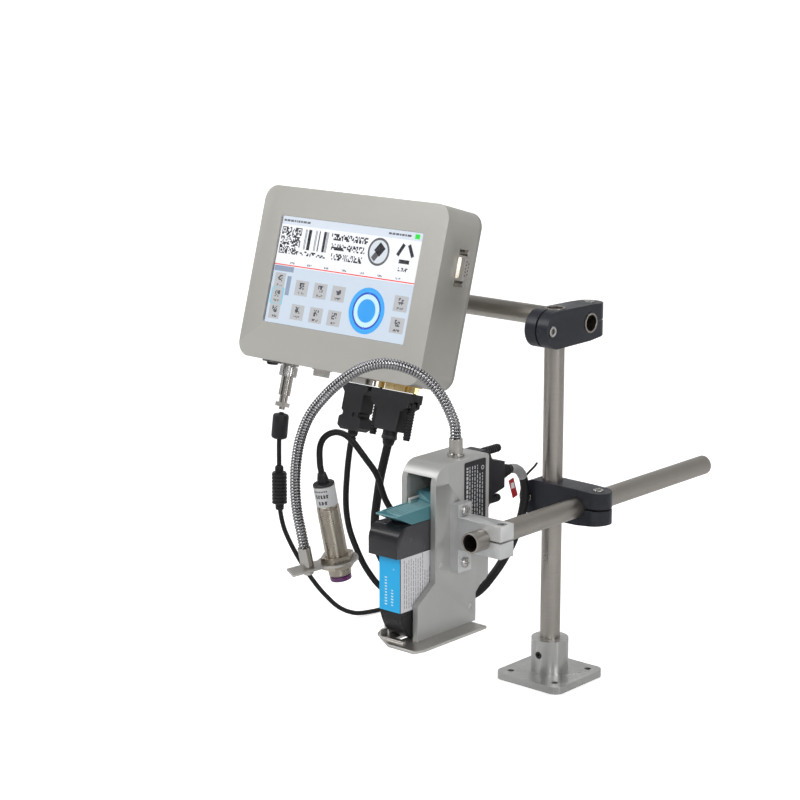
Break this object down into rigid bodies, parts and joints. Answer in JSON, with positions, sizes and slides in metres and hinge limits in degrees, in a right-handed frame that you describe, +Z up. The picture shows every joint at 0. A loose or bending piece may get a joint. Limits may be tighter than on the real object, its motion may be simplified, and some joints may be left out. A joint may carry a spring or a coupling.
{
  "type": "date code inkjet printer",
  "caption": "Bench inkjet coder: a tilting touch screen controller and a cartridge print head on a tube stand with cross clamps, joined by cables, with an object sensor on a gooseneck.",
  "frame": {"origin": "centre of the bottom face of the foot plate, on the post's axis", "axes": "+X along the product line, to the operator's right; +Y away from the operator; +Z up"},
  "size_m": [0.3393, 0.35, 0.3795],
  "materials": {
    "stainless_tube": "brushed stainless tube",
    "bright_steel": "bright plated screws, shells and ferrules",
    "clamp_plastic": "satin moulded, blue-black",
    "black_plastic": "satin moulded, black",
    "case_grey": "satin warm grey",
    "screen_glass": "lit touch screen glass",
    "panel_grey": "matte",
    "board_green": "solder mask",
    "brass_parts": "plated brass",
    "anodised_aluminium": "satin anodised",
    "nickel_brass": "nickel plated brass",
    "latch_teal": "satin teal moulding",
    "lens_purple": "glossy dark purple",
    "white_plastic": "white with a blue front label",
    "cord_black": "black cable jacket"
  },
  "bodies": {
    "stand": {"post_foot": "anodised_aluminium", "foot_grub_screw": "black_plastic", "post": "stainless_tube", "power_cord": "cord_black", "power_cord_ferrites": "black_plastic", "power_cord_coil": "cord_black", "power_cord_end_plug": "black_plastic", "head_cable": "cord_black", "sensor_cable": "cord_black"},
    "upper_clamp": {"upper_clamp_block": "clamp_plastic", "upper_clamp_screws": "bright_steel"},
    "controller": {"screen_rod": "stainless_tube", "rod_bracket": "anodised_aluminium", "rod_bracket_screws": "bright_steel", "controller_case": "case_grey", "rear_cover": "case_grey", "rear_cover_screws": "bright_steel", "touch_glass": "screen_glass", "display_panel": "panel_grey", "controller_board": "board_green", "board_standoffs": "brass_parts", "side_serial_port": "bright_steel", "power_switch_bezel": "case_grey", "power_socket": "bright_steel", "power_plug_body": "bright_steel", "usb_port": "bright_steel", "sensor_socket": "bright_steel", "sensor_plug": "black_plastic", "data_socket": "brass_parts", "data_plug": "black_plastic"},
    "power_switch": {"power_switch_rocker": "black_plastic"},
    "power_nut": {"power_plug_nut": "bright_steel"},
    "data_screw_left": {"data_plug_screw_left": "black_plastic"},
    "data_screw_right": {"data_plug_screw_right": "black_plastic"},
    "lower_clamp": {"lower_clamp_block": "clamp_plastic", "lower_clamp_screws": "bright_steel"},
    "head_arm": {"head_rod": "stainless_tube"},
    "head": {"head_housing": "anodised_aluminium", "head_rear_cover": "anodised_aluminium", "skid_plate": "stainless_tube", "head_clamp_bracket": "anodised_aluminium", "bracket_screws": "bright_steel", "info_plate": "black_plastic", "cartridge_stall": "black_plastic", "contact_board": "brass_parts", "driver_board": "board_green", "head_plug": "black_plastic", "latch_pin": "bright_steel"},
    "head_screw_upper": {"head_plug_screw_upper": "black_plastic"},
    "head_screw_lower": {"head_plug_screw_lower": "black_plastic"},
    "latch": {"latch": "latch_teal", "latch_wire": "white_plastic"},
    "cartridge": {"cartridge_body": "white_plastic", "cartridge_cap": "black_plastic"},
    "sensor_arm": {"gooseneck": "bright_steel", "gooseneck_ferrules": "bright_steel", "sensor_plate": "nickel_brass", "sensor_barrel": "nickel_brass", "sensor_nuts": "nickel_brass", "sensor_lens": "lens_purple"}
  },
  "joints": [
    {"name": "upper_clamp_height", "type": "slide", "parent": "stand", "child": "upper_clamp", "axis": [0, 0, 1], "range_m": [-0.04, 0], "deforming": ["power_cord", "power_cord_ferrites"]},
    {"name": "controller_tilt", "type": "hinge", "parent": "upper_clamp", "child": "controller", "pos_m": [-0.18, 0.032, 0.288], "axis": [1, 0, 0], "range_deg": [-10, 20], "deforming": ["head_cable", "sensor_cable"]},
    {"name": "power_switch_press", "type": "hinge", "parent": "controller", "child": "power_switch", "pos_m": [-0.2575, -0.05212, 0.2341], "axis": [0, 0.9613, -0.2756], "range_deg": [0, 14]},
    {"name": "power_nut_turn", "type": "hinge", "parent": "controller", "child": "power_nut", "pos_m": [-0.2375, -0.05405, 0.22737], "axis": [0, 0.2756, 0.9613], "continuous": true},
    {"name": "data_screw_left_turn", "type": "hinge", "parent": "controller", "child": "data_screw_left", "pos_m": [-0.134, -0.0568, 0.21776], "axis": [0, 0.2756, 0.9613], "continuous": true},
    {"name": "data_screw_right_turn", "type": "hinge", "parent": "controller", "child": "data_screw_right", "pos_m": [-0.098, -0.0568, 0.21776], "axis": [0, 0.2756, 0.9613], "continuous": true},
    {"name": "lower_clamp_height", "type": "slide", "parent": "stand", "child": "lower_clamp", "axis": [0, 0, 1], "range_m": [-0.02, 0.03]},
    {"name": "head_arm_reach", "type": "slide", "parent": "lower_clamp", "child": "head_arm", "axis": [0, 1, 0], "range_m": [-0.04, 0.01]},
    {"name": "head_level", "type": "hinge", "parent": "head_arm", "child": "head", "pos_m": [0.032, -0.12, 0.15], "axis": [0, 1, 0], "range_deg": [-10, 10]},
    {"name": "head_screw_upper_turn", "type": "hinge", "parent": "head", "child": "head_screw_upper", "pos_m": [-0.01525, -0.06, 0.198], "axis": [0, 1, 0], "continuous": true},
    {"name": "head_screw_lower_turn", "type": "hinge", "parent": "head", "child": "head_screw_lower", "pos_m": [-0.01525, -0.06, 0.158], "axis": [0, 1, 0], "continuous": true},
    {"name": "latch_open", "type": "hinge", "parent": "head", "child": "latch", "pos_m": [-0.01525, -0.12, 0.172], "axis": [-1, 0, 0], "range_deg": [0, 35]},
    {"name": "cartridge_slide", "type": "slide", "parent": "head", "child": "cartridge", "axis": [0, -1, 0], "range_m": [0, 0.06]},
    {"name": "sensor_arm_swivel", "type": "hinge", "parent": "head", "child": "sensor_arm", "pos_m": [-0.01, -0.108, 0.203], "axis": [0, 0, 1], "range_deg": [-3, 35]}
  ]
}
